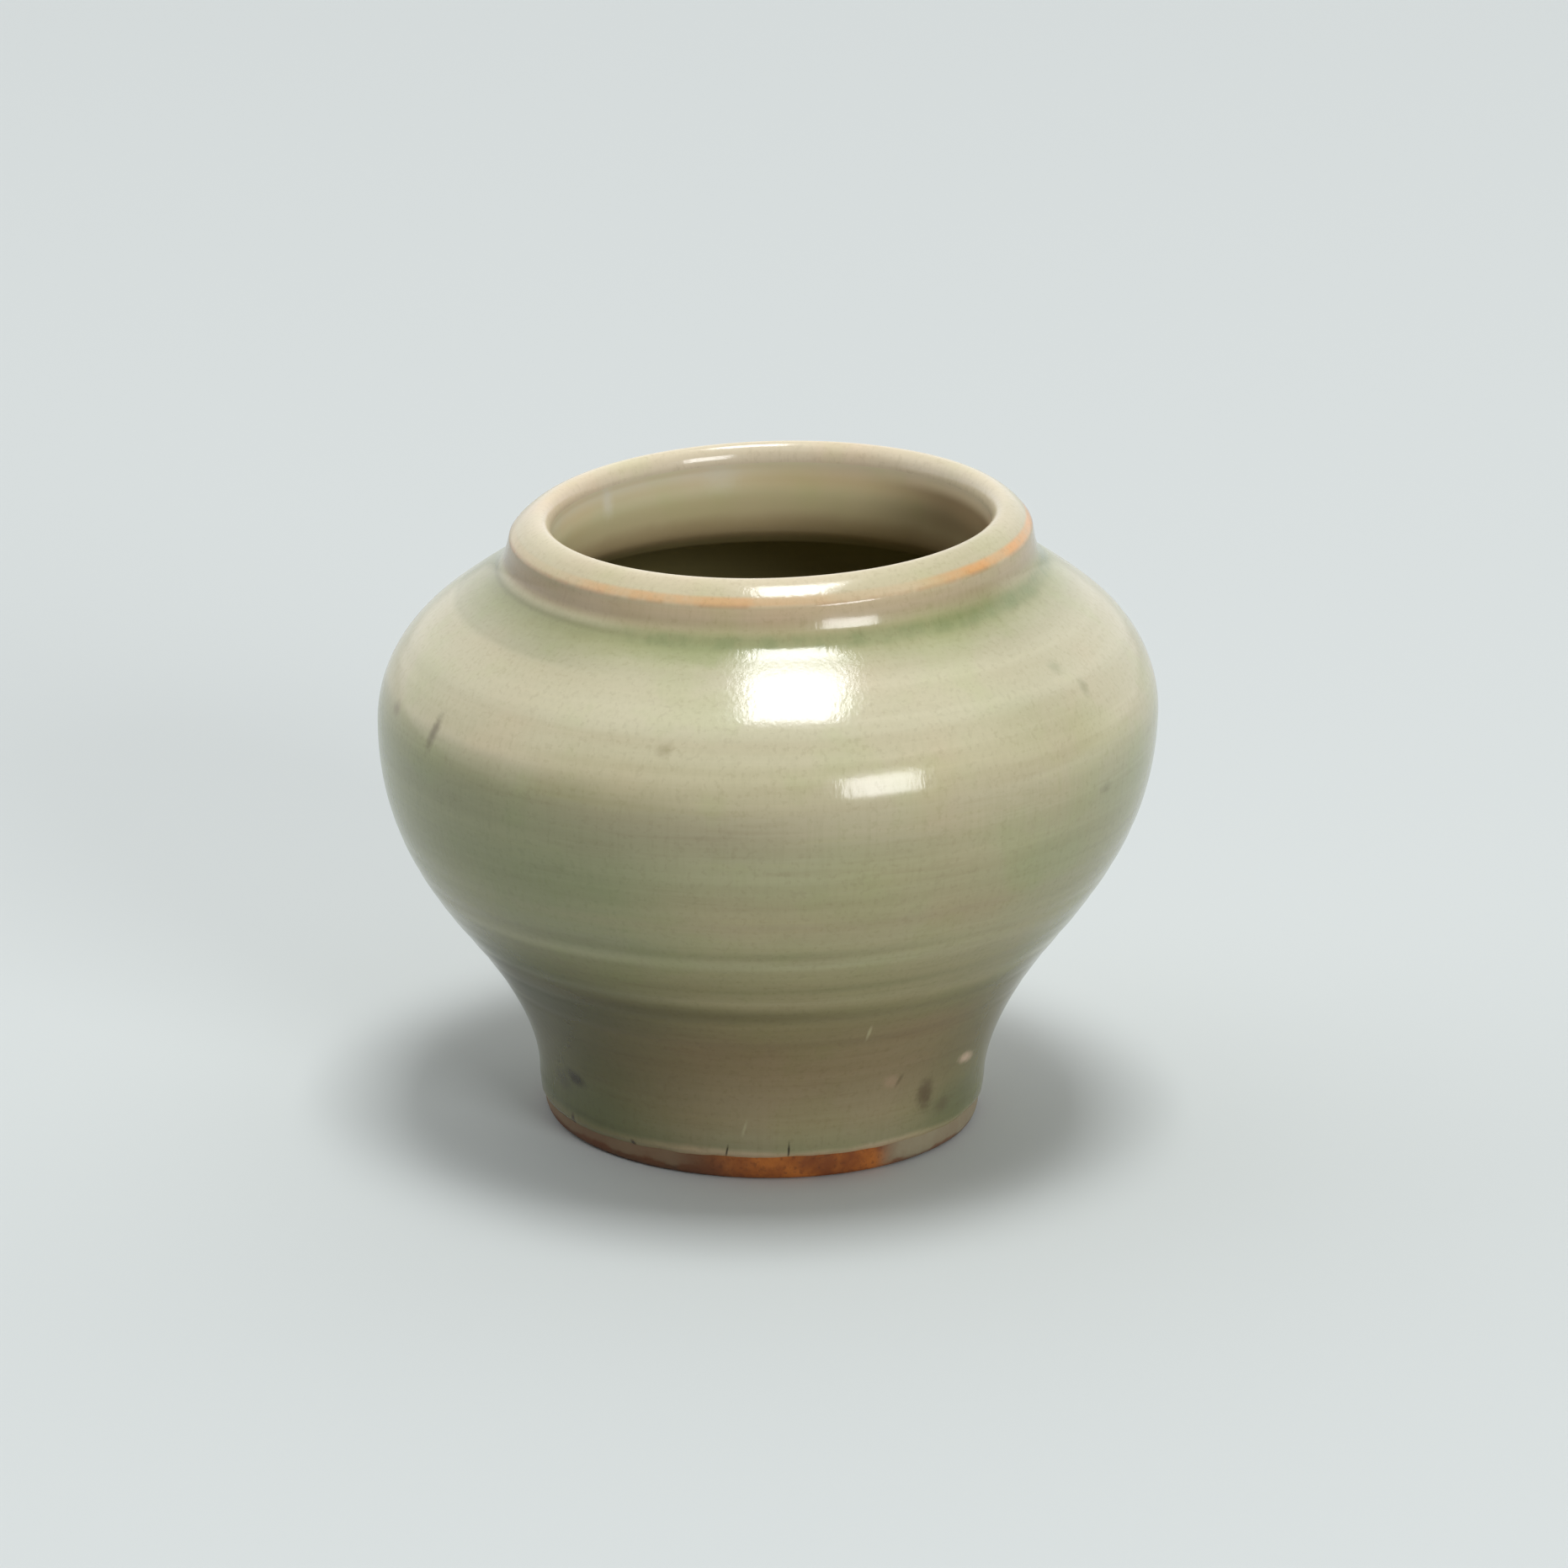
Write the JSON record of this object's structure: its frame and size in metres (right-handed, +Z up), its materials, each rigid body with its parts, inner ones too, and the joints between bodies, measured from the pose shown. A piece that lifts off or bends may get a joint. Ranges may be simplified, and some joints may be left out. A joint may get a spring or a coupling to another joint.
{
  "type": "small baluster jar",
  "caption": "Small stoneware jar with a broad shoulder, a short collar with a rounded lip and a narrow turned foot, under an olive celadon glaze that stops short of the foot rim.",
  "frame": {"origin": "centre of the ring that the jar stands on, on the surface it stands on", "axes": "+Z up along the jar's axis; -Y faces the viewer of the picture and +X is to the right there, where the tilted lip is highest"},
  "size_m": [0.1, 0.1, 0.0822],
  "materials": {
    "fired_clay": "bare stoneware, matt, burnt orange where it shows at the foot rim",
    "celadon_glaze": "glossy olive celadon, thin and orange on the lip's edge, pooled green at the neck",
    "inner_glaze": "glossy olive brown celadon"
  },
  "bodies": {
    "root": {"foot_section": "fired_clay", "lower_body": "fired_clay", "shoulder": "fired_clay", "neck_and_lip": "fired_clay", "outer_glaze": "celadon_glaze", "inner_glaze": "inner_glaze"}
  },
  "joints": []
}
